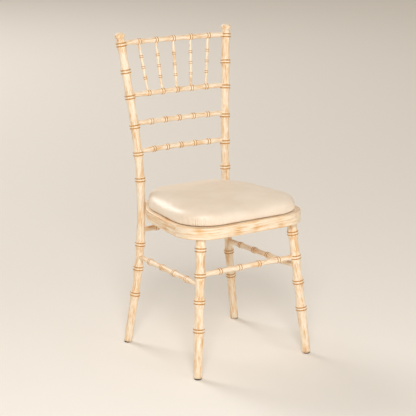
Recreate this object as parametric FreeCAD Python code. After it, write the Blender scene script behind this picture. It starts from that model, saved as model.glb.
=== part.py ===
import FreeCAD, Part
import math
import os

# A turned wooden chair with a loose seat pad.
# X runs to the right of someone who faces the chair, Y runs from front to back, Z is up.
# The origin is on the floor, in the middle of the chair's outline. Lengths are in millimetres.

Vector = FreeCAD.Vector
UP = Vector(0, 0, 1)
BACKWARD = Vector(0, 1, 0)

# Glides under the four feet
glide_radius = 10.5
glide_height = 3.0

# Seat frame: heights, and the corners of its rounded plan, as half widths and depths
seat_bottom = 391.0
seat_depth = 33.0
seat_frame_width = 45.0
seat_length = 383.0
seat_front_y = -206.0
seat_rear_y = seat_front_y + seat_length
seat_side_forward = 112.0
seat_side_y = seat_rear_y - seat_side_forward
seat_front_half_width = 215.0
seat_front_round = 88.0
seat_side_half_width = 185.7
seat_side_round = 150.0
seat_rear_half_width = 121.3
seat_rear_round = 60.0
seat_edge_chamfer = 2.0
seat_top = seat_bottom + seat_depth

# Joints of the seat frame: where its four pieces meet, from its ends, and the fingers there
front_joint_setback = 88.0
rear_joint_setback = 82.0
front_joint_y = seat_front_y + front_joint_setback
rear_joint_y = seat_rear_y - rear_joint_setback
finger_length = 16.0
finger_count = 5
glue_gap = 0.1

# Plywood seat panel, let into a ledge of the seat frame
panel_thickness = 9.0
panel_ledge = 12.0
panel_gap = 0.4

# Back rails between the posts: the rise of the top rail over the seat frame, then each rail's drop
top_rail_rise = 461.5
spindle_rail_drop = 148.5
upper_ladder_drop = 82.0
lower_ladder_drop = 80.5
top_rail_height = seat_top + top_rail_rise
spindle_rail_height = top_rail_height - spindle_rail_drop
upper_ladder_height = spindle_rail_height - upper_ladder_drop
lower_ladder_height = upper_ladder_height - lower_ladder_drop
rail_bow = 10.0
rail_radius = 7.6
rail_end_radius = 6.8
rail_ring_radius = 9.2

# Spacing of the ridge pairs along each back rail, as a share of the rail's half length
top_rail_ring_share = 0.3312
spindle_rail_ring_share = 0.3007
upper_ladder_ring_share = 0.3098
lower_ladder_ring_share = 0.3147

# Rear posts: a foot run and a back run that meet at a knee beside the seat frame, bent over a long reach
post_knee_outward = 12.6
post_knee_forward = 38.3
post_knee_drop = 9.6
post_foot_outward = 59.4
post_foot_rearward = 27.0
back_splay = 0.1003
back_rake = 0.1305
post_knee_x = seat_rear_half_width + post_knee_outward
post_knee_y = seat_rear_y - post_knee_forward
post_knee_height = seat_top - post_knee_drop
post_foot_x = post_knee_x + post_foot_outward
post_foot_y = post_knee_y + post_foot_rearward
post_bend_reach = 269.0
post_radius = 12.8
post_foot_radius = 11.8
post_ring_radius = 15.5

# Heights of the rings on the posts: the lower ones hang from the seat frame, the upper from the top rail
post_low_ring_drops = [242.0, 164.0, 91.0]
post_high_ring_drops = [393.5, 317.5, 238.5, 153.5, 80.0, 3.5]
post_ring_heights = [seat_bottom - drop for drop in post_low_ring_drops]
post_ring_heights += [top_rail_height - drop for drop in post_high_ring_drops]

# Finials, from the cup on the highest ring up to the ball
finial_cup_radius = 12.6
finial_cup_rise = 8.0
finial_neck_radius = 10.3
finial_neck_rise = 11.2
finial_radius = 15.4
finial_rise = 20.5
finial_half_height = 10.3
finial_angles = [-50, -18, 18, 50, 78]

# Front legs: the top's place from the seat frame's front corner, and the splay down to the foot
leg_top_inward = 59.6
leg_top_rearward = 35.9
leg_splay_x = 34.0
leg_splay_y = 35.9
leg_top_x = seat_front_half_width - leg_top_inward
leg_top_y = seat_front_y + leg_top_rearward
leg_foot_x = leg_top_x + leg_splay_x
leg_foot_y = leg_top_y - leg_splay_y
leg_radius = 13.8
leg_foot_radius = 12.2
leg_neck_radius = 13.2
leg_ring_radius = 16.5
leg_ring_drops = [255.0, 175.5, 102.0, 31.0]
leg_tenon_radius = 9.0
leg_tenon_length = 22.0

# Turned work: the widths of the ridge pairs along their members, and the flats that stand for round
thick_ring_width = 14.0
thin_ring_width = 12.5
spindle_ring_width = 8.0
groove_share = 0.35
ridge_share = 0.6
thick_flat_count = 14
thin_flat_count = 10
spindle_flat_count = 8

# Back spindles
spindle_count = 5
spindle_radius = 4.3
spindle_end_radius = 3.3
spindle_ring_radius = 5.4
spindle_ring_shares = [0.29, 0.5, 0.71]

# Stretchers between the legs, hung from the underside of the seat frame
front_stretcher_drop = 101.5
side_stretcher_drop = 130.0
rear_stretcher_drop = 49.0
front_stretcher_height = seat_bottom - front_stretcher_drop
side_stretcher_height = seat_bottom - side_stretcher_drop
rear_stretcher_height = seat_bottom - rear_stretcher_drop
stretcher_radius = 7.7
stretcher_end_radius = 6.8
stretcher_ring_radius = 9.5
stretcher_ring_offsets = [-100.0, -33.0, 33.0, 100.0]

# Seats of turned ends in their bores
bore_clearance = 0.15
bore_end_gap = 0.5

# Bolts that hold the seat frame to the rear posts
bolt_radius = 3.0
bolt_head_radius = 5.0
bolt_head_height = 5.0
bolt_head_sink = 6.0
bolt_length = 45.0
bolt_height = seat_bottom + seat_depth / 2

# Seat pad: board, foam and cover. Its corners are rounder than those of the seat frame, and the levels
# of its form are a share of its height and how far the side draws in there
pad_inset = 7.0
pad_rounder = (16.0, 0.0, 32.0)
pad_height = 45.0
pad_levels = [(0.0, 4.0), (0.24, 0.0), (0.5, 1.5), (0.7, 6.0), (0.86, 14.0), (1.0, 38.0)]
cover_thickness = 1.0
cover_lip = 30.0
board_thickness = 6.0
board_setback = 6.0
tape_length = 60.0
tape_width = 25.0
tape_thickness = 1.1
tape_x = 95.0
tape_y = 90.0
tape_gap = 0.3
board_bottom = seat_top + 2 * tape_thickness + tape_gap
pad_bottom = board_bottom - cover_thickness

# How far the cutting bodies reach past what they cut, and how far off flat a face or edge may be
cutter_reach = 1000.0
cut_margin = 5.0
flat_face_tolerance = 1e-7
level_edge_tolerance = 0.001

os.makedirs("parts", exist_ok=True)


def save(shape, node):
    shape.exportStep("parts/" + node + ".step")
    print(node, len(shape.Solids), round(shape.Volume))


def to_left(shape):
    return shape.mirror(Vector(0, 0, 0), Vector(1, 0, 0))


def left_of(vector):
    return Vector(-vector.x, vector.y, vector.z)


def on_arc(start, direction, side, radius, angle):
    """Centre and direction after an angle of an arc that starts along a direction and turns to a side."""
    centre = start + direction * (radius * math.sin(angle)) + side * (radius * (1 - math.cos(angle)))
    return centre, direction * math.cos(angle) + side * math.sin(angle)


def post_axis(height):
    """Centre and direction of the right rear post at a height."""
    knee = Vector(post_knee_x, post_knee_y, post_knee_height)
    foot_run = (knee - Vector(post_foot_x, post_foot_y, 0)).normalize()
    back_run = Vector(back_splay, back_rake, 1).normalize()
    bend_start = knee - foot_run * post_bend_reach
    bend_end = knee + back_run * post_bend_reach
    if height < bend_start.z:
        return bend_start + foot_run * ((height - bend_start.z) / foot_run.z), foot_run
    if height > bend_end.z:
        return bend_end + back_run * ((height - bend_end.z) / back_run.z), back_run
    side = (back_run - foot_run * foot_run.dot(back_run)).normalize()
    radius = post_bend_reach / math.tan(foot_run.getAngle(back_run) / 2)
    rise = (height - bend_start.z) / radius - side.z
    angle = math.asin(rise / math.hypot(foot_run.z, side.z)) + math.atan2(side.z, foot_run.z)
    return on_arc(bend_start, foot_run, side, radius, angle)


def leg_axis(height):
    """Centre and direction of the right front leg at a height."""
    run = Vector(leg_top_x - leg_foot_x, leg_top_y - leg_foot_y, seat_bottom)
    return Vector(leg_foot_x, leg_foot_y, 0) + run * (height / seat_bottom), run.normalize()


def rail_axis(height):
    """Centre and direction of a bowed back rail, by the distance to the right of the middle."""
    end = post_axis(height)[0]
    radius = (end.x**2 + rail_bow**2) / (2 * rail_bow)
    middle = Vector(0, end.y + rail_bow, height)

    def axis(x):
        return on_arc(middle, Vector(1, 0, 0), Vector(0, -1, 0), radius, math.asin(x / radius))

    return axis


def line_axis(start, end):
    """Centre and direction along a straight line, by the distance from its start."""
    direction = (end - start).normalize()

    def axis(place):
        return start + direction * place, direction

    return axis


def ridges(axis, place, width, body_radius, ring_radius):
    """Stations of two turned ridges with a shallow groove between them, straight over their width."""
    middle, direction = axis(place)
    groove_radius = body_radius + groove_share * (ring_radius - body_radius)
    half = width / 2
    stations = []
    for share, radius in [(1, body_radius), (ridge_share, ring_radius)]:
        stations.append((middle - direction * (half * share), direction, radius))
    stations.append((middle, direction, groove_radius))
    for share, radius in [(ridge_share, ring_radius), (1, body_radius)]:
        stations.append((middle + direction * (half * share), direction, radius))
    return stations


def flat_faces(corners):
    """One flat face on four corners, or two where they don't lie in one plane."""
    first, second, third, fourth = corners
    normal = (second - first).cross(fourth - first).normalize()
    if abs(normal.dot(third - first)) < flat_face_tolerance:
        return [Part.Face(Part.makePolygon(corners + [first]))]
    halves = [[first, second, third, first], [first, third, fourth, first]]
    return [Part.Face(Part.makePolygon(half)) for half in halves]


def turned(stations, reference, flats):
    """A turned stick through stations of centre, direction and radius, drawn with flats for its round."""
    rings = []
    for centre, direction, radius in stations:
        across = direction.cross(reference).normalize()
        beside = direction.cross(across)
        points = []
        for index in range(flats):
            angle = 2 * math.pi * (index + 0.5) / flats
            points.append(centre + across * (radius * math.cos(angle)) + beside * (radius * math.sin(angle)))
        rings.append(points)
    faces = [Part.Face(Part.makePolygon(ring + ring[:1])) for ring in [rings[0], rings[-1]]]
    for low, high in zip(rings, rings[1:]):
        for index in range(flats):
            faces += flat_faces([low[index - 1], low[index], high[index], high[index - 1]])
    shell = Part.makeShell(faces)
    shell.sewShape()
    stick = Part.makeSolid(shell)
    if stick.Volume < 0:
        stick.reverse()
    return stick


def straight_run(start, direction, length, radius, reference, flats):
    """A plain run of one radius, for ends, holes, bolts and glides."""
    direction = Vector(direction).normalize()
    stations = [(start, direction, radius), (start + direction * length, direction, radius)]
    return turned(stations, reference, flats)


def bore(tip, outward, radius, depth, reference=UP):
    """The hole that takes a turned end. It starts just past the tip and runs outward."""
    outward = Vector(outward).normalize()
    start = tip - outward * bore_end_gap
    length = depth + bore_end_gap
    return straight_run(start, outward, length, radius + bore_clearance, reference, thin_flat_count)


def below(height):
    reach = cutter_reach
    return Part.makeBox(reach, reach, reach, Vector(-reach / 2, -reach / 2, height - reach))


def above(height):
    return below(height + cutter_reach)


def stretcher(start, end):
    """A straight stretcher from one leg's middle to another's, tapered at both ends, with ridge pairs."""
    length = (end - start).Length
    axis = line_axis(start, end)
    seated = leg_ring_radius
    stations = [axis(0) + (stretcher_end_radius,), axis(seated) + (stretcher_end_radius,)]
    for offset in stretcher_ring_offsets:
        middle = length / 2 + offset
        stations += ridges(axis, middle, thin_ring_width, stretcher_radius, stretcher_ring_radius)
    stations += [axis(length - seated) + (stretcher_end_radius,), axis(length) + (stretcher_end_radius,)]
    return turned(stations, UP, thin_flat_count)


def back_rail(height, ring_share):
    """A bowed rail that runs from the middle of one post to the middle of the other."""
    axis = rail_axis(height)
    half = post_axis(height)[0].x
    shoulder = half - post_radius
    stations = [axis(-half) + (rail_end_radius,), axis(-shoulder) + (rail_end_radius,)]
    for index in range(spindle_count):
        middle = (index - (spindle_count - 1) / 2) * ring_share * half
        stations += ridges(axis, middle, thin_ring_width, rail_radius, rail_ring_radius)
    stations += [axis(shoulder) + (rail_end_radius,), axis(half) + (rail_end_radius,)]
    return turned(stations, UP, thin_flat_count)


def spindle_ends(index):
    """Lower and upper end of a back spindle, on the axes of its two rails."""
    steps = index - (spindle_count - 1) / 2
    rails = [(spindle_rail_height, spindle_rail_ring_share), (top_rail_height, top_rail_ring_share)]
    ends = []
    for height, share in rails:
        ends.append(rail_axis(height)(steps * share * post_axis(height)[0].x)[0])
    return ends


def spindle(index):
    lower, upper = spindle_ends(index)
    length = (upper - lower).Length
    axis = line_axis(lower, upper)
    neck = rail_ring_radius
    stations = [axis(0) + (spindle_end_radius,), axis(neck) + (spindle_end_radius,)]
    for share in spindle_ring_shares:
        middle, direction = axis(length * share)
        half = direction * (spindle_ring_width / 2)
        stations.append((middle - half, direction, spindle_radius))
        stations.append((middle, direction, spindle_ring_radius))
        stations.append((middle + half, direction, spindle_radius))
    stations += [axis(length - neck) + (spindle_end_radius,), axis(length) + (spindle_end_radius,)]
    return turned(stations, BACKWARD, spindle_flat_count)


def rear_post():
    """The right rear post, from its foot to the ball finial, with every bore."""
    stations = [post_axis(-cut_margin) + (post_foot_radius,)]
    for height in post_ring_heights:
        stations += ridges(post_axis, height, thick_ring_width, post_radius, post_ring_radius)
    stations.append(post_axis(top_rail_height + finial_cup_rise) + (finial_cup_radius,))
    stations.append(post_axis(top_rail_height + finial_neck_rise) + (finial_neck_radius,))
    for angle in finial_angles:
        height = top_rail_height + finial_rise + finial_half_height * math.sin(math.radians(angle))
        stations.append(post_axis(height) + (finial_radius * math.cos(math.radians(angle)),))
    bend_normal = post_axis(0)[1].cross(post_axis(top_rail_height)[1])
    stick = turned(stations, bend_normal, thick_flat_count).cut(below(glide_height))
    holes = []
    for height in [top_rail_height, spindle_rail_height, upper_ladder_height, lower_ladder_height]:
        tip, along = rail_axis(height)(post_axis(height)[0].x)
        holes.append(bore(tip, along * -1, rail_end_radius, 2 * post_radius))
    tip = post_axis(rear_stretcher_height)[0]
    holes.append(bore(tip, Vector(-1, 0, 0), stretcher_end_radius, 2 * post_radius))
    start, end = side_stretcher_ends()
    holes.append(bore(end, start - end, stretcher_end_radius, 2 * post_radius))
    holes += bolt_parts(bore_clearance, 2 * post_radius)
    return stick.cut(holes)


def front_leg():
    """The right front leg, with its bores and the tenon that enters the seat frame."""
    stations = [leg_axis(-cut_margin) + (leg_foot_radius,)]
    for drop in leg_ring_drops:
        stations += ridges(leg_axis, seat_bottom - drop, thick_ring_width, leg_radius, leg_ring_radius)
    stations.append(leg_axis(seat_bottom + cut_margin) + (leg_neck_radius,))
    stick = turned(stations, BACKWARD, thick_flat_count).cut([below(glide_height), above(seat_bottom)])
    stick = stick.fuse(leg_tenon(leg_tenon_radius, leg_tenon_length))
    start, end = side_stretcher_ends()
    across = leg_axis(front_stretcher_height)[0]
    holes = [bore(start, end - start, stretcher_end_radius, 2 * leg_ring_radius)]
    holes.append(bore(across, Vector(-1, 0, 0), stretcher_end_radius, 2 * leg_ring_radius))
    return stick.cut(holes)


def leg_tenon(radius, length):
    """The round tenon on the top of the right front leg. It starts a little inside the leg."""
    point, direction = leg_axis(seat_bottom)
    start = point - direction * cut_margin
    return straight_run(start, direction, length + cut_margin, radius, BACKWARD, thick_flat_count)


def glide(x, y):
    return straight_run(Vector(x, y, 0), UP, glide_height, glide_radius, BACKWARD, thick_flat_count)


def side_stretcher_ends():
    return leg_axis(side_stretcher_height)[0], post_axis(side_stretcher_height)[0]


def seat_outline(inset, height, rounder=(0, 0, 0)):
    """The closed plan of the seat frame at a height, drawn in by an inset. The pad has rounder corners."""
    half = [
        (seat_front_half_width, seat_front_y, seat_front_round + rounder[0]),
        (seat_side_half_width, seat_side_y, seat_side_round + rounder[1]),
        (seat_rear_half_width, seat_rear_y, seat_rear_round + rounder[2]),
    ]
    corners = half + [(-x, y, turn) for x, y, turn in reversed(half)]
    points = [Vector(x, y, height) for x, y, turn in corners]
    arcs = []
    for index, (x, y, turn) in enumerate(corners):
        before = (points[index] - points[index - 1]).normalize()
        after = (points[(index + 1) % len(points)] - points[index]).normalize()
        radius = turn - inset
        half_turn = before.getAngle(after) / 2
        inward = (after - before).normalize()
        corner = points[index] + inward * (inset / math.cos(half_turn))
        reach = radius * math.tan(half_turn)
        middle = corner + inward * (radius / math.cos(half_turn) - radius)
        arcs.append(Part.Arc(corner - before * reach, middle, corner + after * reach))
    edges = []
    for index, arc in enumerate(arcs):
        following = arcs[(index + 1) % len(arcs)]
        edges.append(arc.toShape())
        edges.append(Part.makeLine(arc.EndPoint, following.StartPoint))
    return Part.Wire(edges)


def seat_prism(inset, bottom, height, rounder=(0, 0, 0)):
    return Part.Face(seat_outline(inset, bottom, rounder)).extrude(Vector(0, 0, height))


def bolt_line():
    """Centre of the right rear post at bolt height, and the level direction into the seat frame."""
    side = Vector(seat_rear_half_width - seat_side_half_width, seat_rear_y - seat_side_y, 0).normalize()
    return post_axis(bolt_height)[0], Vector(-side.y, side.x, 0)


def bolt_parts(clearance, head_height):
    """Head and shank of the right bolt, or of its hole where a clearance is given."""
    middle, inward = bolt_line()
    seat = middle - inward * (post_radius - bolt_head_sink)
    head = straight_run(seat, inward * -1, head_height, bolt_head_radius + clearance, UP, thin_flat_count)
    shank = straight_run(seat, inward, bolt_length + clearance, bolt_radius + clearance, UP, thin_flat_count)
    return [head, shank]


def seat_frame():
    """The whole seat frame, before it is parted into its four pieces."""
    ring = seat_prism(0, seat_bottom, seat_depth)
    outer_edges = []
    for edge in ring.Edges:
        if edge.BoundBox.ZLength < level_edge_tolerance:
            outer_edges.append(edge)
    ring = ring.makeChamfer(seat_edge_chamfer, outer_edges)
    ring = ring.cut(seat_prism(seat_frame_width, seat_bottom - cut_margin, seat_depth + 2 * cut_margin))
    ledge_height = seat_top - panel_thickness
    ring = ring.cut(seat_prism(seat_frame_width - panel_ledge, ledge_height, panel_thickness + cut_margin))
    cuts = []
    centre, direction = post_axis(bolt_height)
    start = centre - direction * seat_depth
    cove = Part.makeCylinder(post_radius + bore_clearance, 2 * seat_depth, start, direction)
    tenon_hole = leg_tenon(leg_tenon_radius + bore_clearance, leg_tenon_length + bore_end_gap)
    for cutter in [cove, tenon_hole, bolt_parts(bore_clearance, bolt_head_height)[1]]:
        cuts += [cutter, to_left(cutter)]
    return ring.cut(cuts)


def joint_zone(joint_y, end_y, gap):
    """The space from a joint plane to an end of the seat, with the fingers that reach past the plane."""
    finger_depth = seat_depth / finger_count
    zone = zone_box(joint_y, end_y, gap, seat_bottom - cut_margin, seat_top + cut_margin)
    for index in range(0, finger_count, 2):
        low = seat_bottom + index * finger_depth - gap
        high = seat_bottom + (index + 1) * finger_depth + gap
        if index == 0:
            low -= cut_margin
        if index == finger_count - 1:
            high += cut_margin
        zone = zone.fuse(zone_box(joint_y, end_y, finger_length + gap, low, high))
    return zone


def zone_box(joint_y, end_y, past, low, high):
    """A box between two heights, from a little past the joint plane to beyond the end."""
    forward = -past if end_y > joint_y else -cutter_reach
    corner = Vector(-cutter_reach, joint_y + forward, low)
    return Part.makeBox(2 * cutter_reach, cutter_reach + past, high - low, corner)


def cushion_form(shrink):
    """The crowned form of the seat pad. Shrink draws its whole skin inwards."""
    wires = []
    for share, tuck in pad_levels:
        height = pad_bottom + shrink + share * (pad_height - 2 * shrink)
        wires.append(seat_outline(pad_inset + shrink + tuck, height, pad_rounder))
    return Part.makeLoft(wires, True, True)


def tapes(bottom):
    """Four patches of hook and loop tape on one level."""
    patches = []
    for x in [-tape_x, tape_x]:
        for y in [-tape_y, tape_y]:
            corner = Vector(x - tape_width / 2, y - tape_length / 2, bottom)
            patches.append(Part.makeBox(tape_width, tape_length, tape_thickness, corner))
    return Part.makeCompound(patches)


# Back and legs
post_right = rear_post()
save(post_right, "rear_post_right")
save(to_left(post_right), "rear_post_left")
leg_right = front_leg()
save(leg_right, "front_leg_right")
save(to_left(leg_right), "front_leg_left")

top_rail = back_rail(top_rail_height, top_rail_ring_share)
spindle_rail = back_rail(spindle_rail_height, spindle_rail_ring_share)
for index in range(spindle_count):
    lower, upper = spindle_ends(index)
    up = upper - lower
    save(spindle(index), "back_spindle_" + str(index + 1))
    spindle_rail = spindle_rail.cut(bore(lower, up, spindle_end_radius, 2 * rail_ring_radius))
    top_rail = top_rail.cut(bore(upper, up * -1, spindle_end_radius, 2 * rail_ring_radius))
save(top_rail, "top_rail")
save(spindle_rail, "spindle_rail")
save(back_rail(upper_ladder_height, upper_ladder_ring_share), "upper_ladder_rail")
save(back_rail(lower_ladder_height, lower_ladder_ring_share), "lower_ladder_rail")

# Stretchers
leg_point = leg_axis(front_stretcher_height)[0]
save(stretcher(left_of(leg_point), leg_point), "front_stretcher")
post_point = post_axis(rear_stretcher_height)[0]
save(stretcher(left_of(post_point), post_point), "rear_stretcher")
leg_point, post_point = side_stretcher_ends()
side_stretcher = stretcher(leg_point, post_point)
save(side_stretcher, "side_stretcher_right")
save(to_left(side_stretcher), "side_stretcher_left")

# Glides
front_glide = glide(leg_foot_x, leg_foot_y)
rear_glide = glide(post_foot_x, post_foot_y)
save(front_glide, "front_glide_right")
save(to_left(front_glide), "front_glide_left")
save(rear_glide, "rear_glide_right")
save(to_left(rear_glide), "rear_glide_left")

# Seat frame
ring = seat_frame()
front_zone = joint_zone(front_joint_y, seat_front_y, 0)
rear_zone = joint_zone(rear_joint_y, seat_rear_y, 0)
end_zones = [joint_zone(front_joint_y, seat_front_y, glue_gap)]
end_zones.append(joint_zone(rear_joint_y, seat_rear_y, glue_gap))
middle = ring.cut(end_zones)
save(ring.common(front_zone), "seat_front_bow")
save(ring.common(rear_zone), "seat_rear_bow")
for rail in middle.Solids:
    save(rail, "seat_side_rail_right" if rail.CenterOfMass.x > 0 else "seat_side_rail_left")
panel = seat_prism(seat_frame_width - panel_ledge + panel_gap, seat_top - panel_thickness, panel_thickness)
save(panel, "seat_panel")

# Bolts
head, shank = bolt_parts(0, bolt_head_height)
bolt_solid = head.fuse(shank)
save(Part.makeCompound([bolt_solid, to_left(bolt_solid)]), "post_bolts")

# Seat pad
outer = cushion_form(0)
inner = cushion_form(cover_thickness)
opening_height = board_bottom - seat_top + cover_thickness
pad_opening = seat_prism(pad_inset + cover_lip, seat_top, opening_height, pad_rounder)
save(outer.cut(inner).cut(pad_opening), "pad_cover")
board_inset = pad_inset + cover_thickness + board_setback
board = seat_prism(board_inset, board_bottom, board_thickness, pad_rounder)
save(board, "pad_board")
save(inner.cut(board), "pad_foam")
save(tapes(seat_top), "hook_tapes")
save(tapes(board_bottom - tape_thickness), "loop_tapes")
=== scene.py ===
# %% [markdown]
# This lesson dresses a turned wooden banquet chair. The construction is already settled: a packed
# model gives every stick, board and pad its real size and place. Here each piece gets the surface
# that a hand would feel on the real chair: crisp turned ridges, limewashed beech and a soft vinyl pad.
# Nothing is moved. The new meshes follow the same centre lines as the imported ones.

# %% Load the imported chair
import math
import random
from bisect import bisect_right

import bmesh
import bpy
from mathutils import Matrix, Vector
from mathutils.kdtree import KDTree


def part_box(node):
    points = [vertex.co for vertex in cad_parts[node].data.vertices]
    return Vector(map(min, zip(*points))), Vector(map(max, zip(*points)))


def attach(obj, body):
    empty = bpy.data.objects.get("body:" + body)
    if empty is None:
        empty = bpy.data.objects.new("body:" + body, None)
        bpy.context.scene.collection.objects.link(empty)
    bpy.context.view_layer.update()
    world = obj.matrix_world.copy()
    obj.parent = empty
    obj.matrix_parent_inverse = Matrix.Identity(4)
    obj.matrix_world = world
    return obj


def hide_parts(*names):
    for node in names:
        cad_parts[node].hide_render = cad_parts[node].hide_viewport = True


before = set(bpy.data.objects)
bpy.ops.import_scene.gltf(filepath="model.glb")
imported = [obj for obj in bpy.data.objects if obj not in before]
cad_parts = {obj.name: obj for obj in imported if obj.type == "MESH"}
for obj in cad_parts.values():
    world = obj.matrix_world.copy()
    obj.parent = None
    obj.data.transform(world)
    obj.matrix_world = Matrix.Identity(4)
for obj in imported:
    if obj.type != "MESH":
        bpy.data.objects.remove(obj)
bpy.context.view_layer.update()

FRAME_BODY = "chair_frame"
PAD_BODY = "seat_pad"
UP = Vector((0, 0, 1))
BACKWARD = Vector((0, 1, 0))

# %% [markdown]
# Blender counts in metres, while a joiner reads millimetres. One small function turns a size in
# millimetres into metres, so that every number below can be read against a ruler.

# %% Units and colours
def mm(size):
    """A size in millimetres, in metres."""
    return size / 1000


def colour(code):
    """An sRGB hex code as the linear colour that shaders expect."""
    channels = [int(code[index:index + 2], 16) / 255 for index in (1, 3, 5)]
    linear = [c / 12.92 if c <= 0.04045 else ((c + 0.055) / 1.055) ** 2.4 for c in channels]
    return (*linear, 1.0)


print("33 mm is", mm(33), "m, and mid grey is", round(colour("#808080")[0], 3), "in linear light")

# %% [markdown]
# The camera stands to the left of the front and looks down a little, from about four metres away
# with a long lens. A long lens keeps upright sticks nearly parallel. The angles and the distance
# were measured from mirrored pairs of rings on the real chair.

# %% Camera
view_azimuth = math.radians(-33.906)
view_elevation = math.radians(14.447)
view_distance = 4.1196
view_target = Vector((-0.0004, 0.0250, 0.4128))
sensor_width = 36.0
focal_length = 122.91

back = Vector((
    math.sin(view_azimuth) * math.cos(view_elevation),
    -math.cos(view_azimuth) * math.cos(view_elevation),
    math.sin(view_elevation),
))
camera_data = bpy.data.cameras.new("camera")
camera_data.sensor_width = sensor_width
camera_data.lens = focal_length
camera = bpy.data.objects.new("camera", camera_data)
camera.location = view_target + back * view_distance
camera.rotation_euler = (-back).to_track_quat("-Z", "Y").to_euler()
bpy.context.collection.objects.link(camera)
bpy.context.scene.camera = camera
bpy.context.scene.view_settings.view_transform = "Standard"
print("camera at", [round(value, 3) for value in camera.location])

# %% [markdown]
# The light is a plain studio: one broad soft key lamp high in front and to the left, a weaker and
# lower fill from the right, and a wide rim lamp far behind that also washes the floor. Broad lamps
# give soft shadows, so that the round section of each stick reads as a slow change of tone, and the
# ridges still catch a small highlight of their own.

# %% Studio
def lamp(name, place, size, power):
    """A round white area lamp, in metres and watts, that faces the chair."""
    data = bpy.data.lights.new(name, "AREA")
    data.shape = "DISK"
    data.size = size
    data.energy = power
    data.color = colour("#FFFFFF")[:3]
    item = bpy.data.objects.new(name, data)
    item.location = place
    item.rotation_euler = (Vector(place) - view_target).to_track_quat("Z", "Y").to_euler()
    bpy.context.collection.objects.link(item)
    print(name, power, "W from a disc", size, "m wide")


lamp("key_lamp", (-1.9, -2.9, 2.6), 1.3, 92)
lamp("fill_lamp", (1.1, -3.8, 1.3), 1.8, 24)
lamp("rim_lamp", (-1.5, 8.0, 6.0), 5.0, 420)

# %% [markdown]
# A shader is a chain of nodes: some make a pattern, some turn it into a colour or a gloss, and the
# last one is the surface itself. Three small helpers keep that code short. One adds any node, sets
# it up and joins it to the nodes before it. One starts a material, and one makes a colour ramp.

# %% Material helpers
def add_node(tree, kind, settings=None, values=None, links=None):
    """Adds a node. Settings are its own choices, values fill its inputs, and links feed its inputs."""
    node = tree.nodes.new(kind)
    for key, value in (settings or {}).items():
        setattr(node, key, value)
    for key, value in (values or {}).items():
        node.inputs[key].default_value = value
    for key, source in (links or {}).items():
        tree.links.new(source, node.inputs[key])
    return node


def new_material(name):
    """A new material, its node tree, and the node in it that is the surface."""
    material = bpy.data.materials.new(name)
    material.use_nodes = True
    tree = material.node_tree
    return material, tree, tree.nodes["Principled BSDF"]


def ramp(tree, factor, stops):
    """A colour ramp through (place, colour code) stops."""
    node = add_node(tree, "ShaderNodeValToRGB", links={"Fac": factor})
    elements = node.color_ramp.elements
    while len(elements) < len(stops):
        elements.new(0.5)
    for element, (place, code) in zip(elements, stops):
        element.position = place
        element.color = colour(code)
    return node.outputs["Color"]


# %% [markdown]
# The floor and the room are plain and pale, so that they tint nothing. The world is over twice as
# bright to the camera and to reflections as it is as a lamp, which gives a clean background without
# washing out the chair. Glossy surfaces show the same background, as they would in a real room.

# %% Floor and room
floor_colour = "#F4F0E9"
room_colour = "#F6E9D9"
floor_width = 80
world_as_lamp = 0.4
world_as_seen = 0.9

bpy.ops.mesh.primitive_plane_add(size=floor_width, location=(0, 0, 0))
floor = bpy.context.object
floor.name = "floor"
floor_paint, tree, shader = new_material("matt_floor_paint")
shader.inputs["Base Color"].default_value = colour(floor_colour)
shader.inputs["Roughness"].default_value = 0.6
floor.data.materials.append(floor_paint)

world = bpy.data.worlds.new("room")
bpy.context.scene.world = world
world.use_nodes = True
tree = world.node_tree
light_path = add_node(tree, "ShaderNodeLightPath")
seen = add_node(
    tree, "ShaderNodeMath", {"operation": "MAXIMUM"},
    links={0: light_path.outputs["Is Camera Ray"], 1: light_path.outputs["Is Glossy Ray"]},
)
strength = add_node(
    tree, "ShaderNodeMapRange",
    values={"To Min": world_as_lamp, "To Max": world_as_seen},
    links={"Value": seen.outputs[0]},
)
background = tree.nodes["Background"]
background.inputs["Color"].default_value = colour(room_colour)
tree.links.new(strength.outputs["Result"], background.inputs["Strength"])
print("floor", floor_width, "m wide, world", world_as_lamp, "as a lamp and", world_as_seen, "as seen")

# %% [markdown]
# The chair is limewashed beech. Beech is a close, pale brown wood with short darker flecks. The
# maker rubs a white lime paste into it and wipes the surface, so the paste stays in the hollows and
# comes off the ridges, where the honey-brown wood shows through. A satin lacquer seals it. To the
# eye that is a chalky, streaked surface with a thin soft shine on top. Wood and lacquer both keep
# the shader's index of refraction of 1.5, which is about that of either.
#
# The grain of a turned and bent stick runs along the stick, so the pattern can't be laid out in room
# space. Every mesh below stores two things per point: its place in the straight blank before
# bending ("blank", in metres, Z along the grain), and how it wore ("wear"): -1 is a hollow full of
# paste, 1 is wood rubbed bare, and 2 is a crest that many hands have darkened. On the seat frame the
# "wear" of each whole piece also carries painted shade: the side rails are set barer than the bows.

# %% Limewashed beech
pore_width = mm(0.9)
pore_length = mm(16)
streak_width = mm(2.6)
streak_length = mm(55)
patch_width = mm(12)
patch_length = mm(42)
lacquer_weight = 0.16
lacquer_roughness = 0.24


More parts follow.
